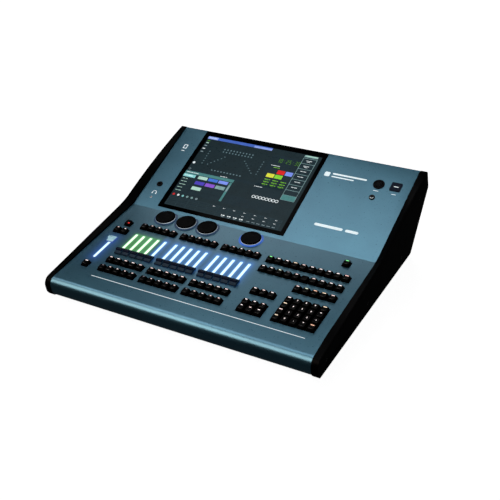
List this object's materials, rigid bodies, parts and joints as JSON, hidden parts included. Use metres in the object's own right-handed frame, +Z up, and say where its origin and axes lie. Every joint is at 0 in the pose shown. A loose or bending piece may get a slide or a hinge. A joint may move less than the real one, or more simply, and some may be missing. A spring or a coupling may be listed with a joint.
{
  "type": "lighting control desk",
  "caption": "Sloping stage lighting desk with a tilted touch display, faders, wheels and banks of backlit keys between black end cheeks.",
  "frame": {"origin": "middle of the desk's footprint, at the underside of its feet", "axes": "+X to the operator's right, +Y away from the operator, +Z up"},
  "size_m": [0.6376, 0.5682, 0.1673],
  "materials": {
    "panel_paint": "satin slate-blue metallic paint",
    "black_cheek": "semi-gloss black moulding",
    "black_steel": "fine-textured black powder coat",
    "black_zinc": "black zinc plate",
    "bare_steel": "bare sheet",
    "screen_glass": "polished, black printed border",
    "display": "display face and metal back",
    "clear_guide": "milky clear acrylic",
    "board_green": "solder-masked board",
    "socket_black": "moulded",
    "socket_blue": "moulded dark blue",
    "button_black": "moulded",
    "foot_rubber": "matt",
    "key_black": "moulded keycaps",
    "dark_cap": "smoked translucent",
    "pale_cap": "pale grey moulding",
    "wheel_black": "soft-touch"
  },
  "bodies": {
    "desk": {"lower_panel": "panel_paint", "screen_panel": "panel_paint", "left_cheek": "black_cheek", "right_cheek": "black_cheek", "cheek_screws": "black_zinc", "base_pan": "black_steel", "rear_panel": "black_steel", "touch_glass": "screen_glass", "display_module": "display", "fader_tracks": "bare_steel", "fader_light_guides": "clear_guide", "wheel_light_rings": "clear_guide", "control_board": "board_green", "main_board": "board_green", "power_supply": "bare_steel", "headphone_sockets": "socket_black", "lamp_socket": "socket_black", "output_sockets": "socket_black", "usb_socket": "socket_blue", "rubber_feet": "foot_rubber"},
    "upper_keys_1": {"upper_keys_1": "key_black"},
    "middle_keys_1": {"middle_keys_1": "key_black"},
    "lower_keys_1": {"lower_keys_1": "key_black"},
    "upper_keys_2": {"upper_keys_2": "key_black"},
    "middle_keys_2": {"middle_keys_2": "key_black"},
    "lower_keys_2": {"lower_keys_2": "key_black"},
    "upper_keys_3": {"upper_keys_3": "key_black"},
    "middle_keys_3": {"middle_keys_3": "key_black"},
    "lower_keys_3": {"lower_keys_3": "key_black"},
    "master_red_key": {"master_red_key": "key_black"},
    "master_pair_keys": {"master_pair_keys": "key_black"},
    "master_single_key": {"master_single_key": "key_black"},
    "ten_keys_upper": {"ten_keys_upper": "key_black"},
    "ten_keys_lower": {"ten_keys_lower": "key_black"},
    "five_keys": {"five_keys": "key_black"},
    "three_keys": {"three_keys": "key_black"},
    "six_keys": {"six_keys": "key_black"},
    "keypad_keys": {"keypad_keys": "key_black"},
    "green_key": {"green_key": "key_black"},
    "playback_fader_01": {"playback_fader_01": "dark_cap"},
    "playback_fader_02": {"playback_fader_02": "dark_cap"},
    "playback_fader_03": {"playback_fader_03": "dark_cap"},
    "playback_fader_04": {"playback_fader_04": "dark_cap"},
    "playback_fader_05": {"playback_fader_05": "dark_cap"},
    "playback_fader_06": {"playback_fader_06": "dark_cap"},
    "playback_fader_07": {"playback_fader_07": "dark_cap"},
    "playback_fader_08": {"playback_fader_08": "dark_cap"},
    "playback_fader_09": {"playback_fader_09": "dark_cap"},
    "playback_fader_10": {"playback_fader_10": "dark_cap"},
    "playback_fader_11": {"playback_fader_11": "dark_cap"},
    "playback_fader_12": {"playback_fader_12": "dark_cap"},
    "playback_fader_13": {"playback_fader_13": "dark_cap"},
    "playback_fader_14": {"playback_fader_14": "dark_cap"},
    "playback_fader_15": {"playback_fader_15": "dark_cap"},
    "master_fader": {"master_fader": "pale_cap"},
    "wheel_1": {"wheel_1": "wheel_black"},
    "wheel_2": {"wheel_2": "wheel_black"},
    "wheel_3": {"wheel_3": "wheel_black"},
    "wheel_4": {"wheel_4": "wheel_black"},
    "power_button": {"power_button": "button_black"}
  },
  "joints": [
    {"name": "playback_fader_01_slide", "type": "slide", "parent": "desk", "child": "playback_fader_01", "axis": [0, 0.996, 0.0889], "range_m": [0, 0.06]},
    {"name": "playback_fader_02_slide", "type": "slide", "parent": "desk", "child": "playback_fader_02", "axis": [0, 0.996, 0.0889], "range_m": [0, 0.06]},
    {"name": "playback_fader_03_slide", "type": "slide", "parent": "desk", "child": "playback_fader_03", "axis": [0, 0.996, 0.0889], "range_m": [0, 0.06]},
    {"name": "playback_fader_04_slide", "type": "slide", "parent": "desk", "child": "playback_fader_04", "axis": [0, 0.996, 0.0889], "range_m": [0, 0.06]},
    {"name": "playback_fader_05_slide", "type": "slide", "parent": "desk", "child": "playback_fader_05", "axis": [0, 0.996, 0.0889], "range_m": [0, 0.06]},
    {"name": "playback_fader_06_slide", "type": "slide", "parent": "desk", "child": "playback_fader_06", "axis": [0, 0.996, 0.0889], "range_m": [0, 0.06]},
    {"name": "playback_fader_07_slide", "type": "slide", "parent": "desk", "child": "playback_fader_07", "axis": [0, 0.996, 0.0889], "range_m": [0, 0.06]},
    {"name": "playback_fader_08_slide", "type": "slide", "parent": "desk", "child": "playback_fader_08", "axis": [0, 0.996, 0.0889], "range_m": [0, 0.06]},
    {"name": "playback_fader_09_slide", "type": "slide", "parent": "desk", "child": "playback_fader_09", "axis": [0, 0.996, 0.0889], "range_m": [0, 0.06]},
    {"name": "playback_fader_10_slide", "type": "slide", "parent": "desk", "child": "playback_fader_10", "axis": [0, 0.996, 0.0889], "range_m": [0, 0.06]},
    {"name": "playback_fader_11_slide", "type": "slide", "parent": "desk", "child": "playback_fader_11", "axis": [0, 0.996, 0.0889], "range_m": [0, 0.06]},
    {"name": "playback_fader_12_slide", "type": "slide", "parent": "desk", "child": "playback_fader_12", "axis": [0, 0.996, 0.0889], "range_m": [0, 0.06]},
    {"name": "playback_fader_13_slide", "type": "slide", "parent": "desk", "child": "playback_fader_13", "axis": [0, 0.996, 0.0889], "range_m": [0, 0.06]},
    {"name": "playback_fader_14_slide", "type": "slide", "parent": "desk", "child": "playback_fader_14", "axis": [0, 0.996, 0.0889], "range_m": [0, 0.06]},
    {"name": "playback_fader_15_slide", "type": "slide", "parent": "desk", "child": "playback_fader_15", "axis": [0, 0.996, 0.0889], "range_m": [0, 0.06]},
    {"name": "master_fader_slide", "type": "slide", "parent": "desk", "child": "master_fader", "axis": [0, 0.996, 0.0889], "range_m": [-0.06, 0]},
    {"name": "wheel_1_turn", "type": "hinge", "parent": "desk", "child": "wheel_1", "pos_m": [-0.1965, -0.00026, 0.07087], "axis": [0, -0.0889, 0.996], "continuous": true},
    {"name": "wheel_2_turn", "type": "hinge", "parent": "desk", "child": "wheel_2", "pos_m": [-0.141, -0.00026, 0.07087], "axis": [0, -0.0889, 0.996], "continuous": true},
    {"name": "wheel_3_turn", "type": "hinge", "parent": "desk", "child": "wheel_3", "pos_m": [-0.0855, -0.00026, 0.07087], "axis": [0, -0.0889, 0.996], "continuous": true},
    {"name": "wheel_4_turn", "type": "hinge", "parent": "desk", "child": "wheel_4", "pos_m": [0.0255, -0.00026, 0.07087], "axis": [0, -0.0889, 0.996], "continuous": true},
    {"name": "upper_keys_1_press", "type": "slide", "parent": "desk", "child": "upper_keys_1", "axis": [0, 0.0889, -0.996], "range_m": [0, 0.0025], "stiffness_N_per_m": 1200, "springref_m": -0.0015},
    {"name": "middle_keys_1_press", "type": "slide", "parent": "desk", "child": "middle_keys_1", "axis": [0, 0.0889, -0.996], "range_m": [0, 0.0025], "stiffness_N_per_m": 1200, "springref_m": -0.0015},
    {"name": "lower_keys_1_press", "type": "slide", "parent": "desk", "child": "lower_keys_1", "axis": [0, 0.0889, -0.996], "range_m": [0, 0.0025], "stiffness_N_per_m": 1200, "springref_m": -0.0015},
    {"name": "upper_keys_2_press", "type": "slide", "parent": "desk", "child": "upper_keys_2", "axis": [0, 0.0889, -0.996], "range_m": [0, 0.0025], "stiffness_N_per_m": 1200, "springref_m": -0.0015},
    {"name": "middle_keys_2_press", "type": "slide", "parent": "desk", "child": "middle_keys_2", "axis": [0, 0.0889, -0.996], "range_m": [0, 0.0025], "stiffness_N_per_m": 1200, "springref_m": -0.0015},
    {"name": "lower_keys_2_press", "type": "slide", "parent": "desk", "child": "lower_keys_2", "axis": [0, 0.0889, -0.996], "range_m": [0, 0.0025], "stiffness_N_per_m": 1200, "springref_m": -0.0015},
    {"name": "upper_keys_3_press", "type": "slide", "parent": "desk", "child": "upper_keys_3", "axis": [0, 0.0889, -0.996], "range_m": [0, 0.0025], "stiffness_N_per_m": 1200, "springref_m": -0.0015},
    {"name": "middle_keys_3_press", "type": "slide", "parent": "desk", "child": "middle_keys_3", "axis": [0, 0.0889, -0.996], "range_m": [0, 0.0025], "stiffness_N_per_m": 1200, "springref_m": -0.0015},
    {"name": "lower_keys_3_press", "type": "slide", "parent": "desk", "child": "lower_keys_3", "axis": [0, 0.0889, -0.996], "range_m": [0, 0.0025], "stiffness_N_per_m": 1200, "springref_m": -0.0015},
    {"name": "master_red_key_press", "type": "slide", "parent": "desk", "child": "master_red_key", "axis": [0, 0.0889, -0.996], "range_m": [0, 0.0025], "stiffness_N_per_m": 240, "springref_m": -0.0015},
    {"name": "master_pair_keys_press", "type": "slide", "parent": "desk", "child": "master_pair_keys", "axis": [0, 0.0889, -0.996], "range_m": [0, 0.0025], "stiffness_N_per_m": 480, "springref_m": -0.0015},
    {"name": "master_single_key_press", "type": "slide", "parent": "desk", "child": "master_single_key", "axis": [0, 0.0889, -0.996], "range_m": [0, 0.0025], "stiffness_N_per_m": 240, "springref_m": -0.0015},
    {"name": "ten_keys_upper_press", "type": "slide", "parent": "desk", "child": "ten_keys_upper", "axis": [0, 0.0889, -0.996], "range_m": [0, 0.0025], "stiffness_N_per_m": 2400, "springref_m": -0.0015},
    {"name": "ten_keys_lower_press", "type": "slide", "parent": "desk", "child": "ten_keys_lower", "axis": [0, 0.0889, -0.996], "range_m": [0, 0.0025], "stiffness_N_per_m": 2400, "springref_m": -0.0015},
    {"name": "five_keys_press", "type": "slide", "parent": "desk", "child": "five_keys", "axis": [0, 0.0889, -0.996], "range_m": [0, 0.0025], "stiffness_N_per_m": 1200, "springref_m": -0.0015},
    {"name": "three_keys_press", "type": "slide", "parent": "desk", "child": "three_keys", "axis": [0, 0.0889, -0.996], "range_m": [0, 0.0025], "stiffness_N_per_m": 720, "springref_m": -0.0015},
    {"name": "six_keys_press", "type": "slide", "parent": "desk", "child": "six_keys", "axis": [0, 0.0889, -0.996], "range_m": [0, 0.0025], "stiffness_N_per_m": 1440, "springref_m": -0.0015},
    {"name": "keypad_keys_press", "type": "slide", "parent": "desk", "child": "keypad_keys", "axis": [0, 0.0889, -0.996], "range_m": [0, 0.0025], "stiffness_N_per_m": 4800, "springref_m": -0.0015},
    {"name": "green_key_press", "type": "slide", "parent": "desk", "child": "green_key", "axis": [0, 0.0889, -0.996], "range_m": [0, 0.0025], "stiffness_N_per_m": 240, "springref_m": -0.0015},
    {"name": "power_button_press", "type": "slide", "parent": "desk", "child": "power_button", "axis": [0, 0.3528, -0.9357], "range_m": [0, 0.0015], "stiffness_N_per_m": 400, "springref_m": -0.001}
  ]
}
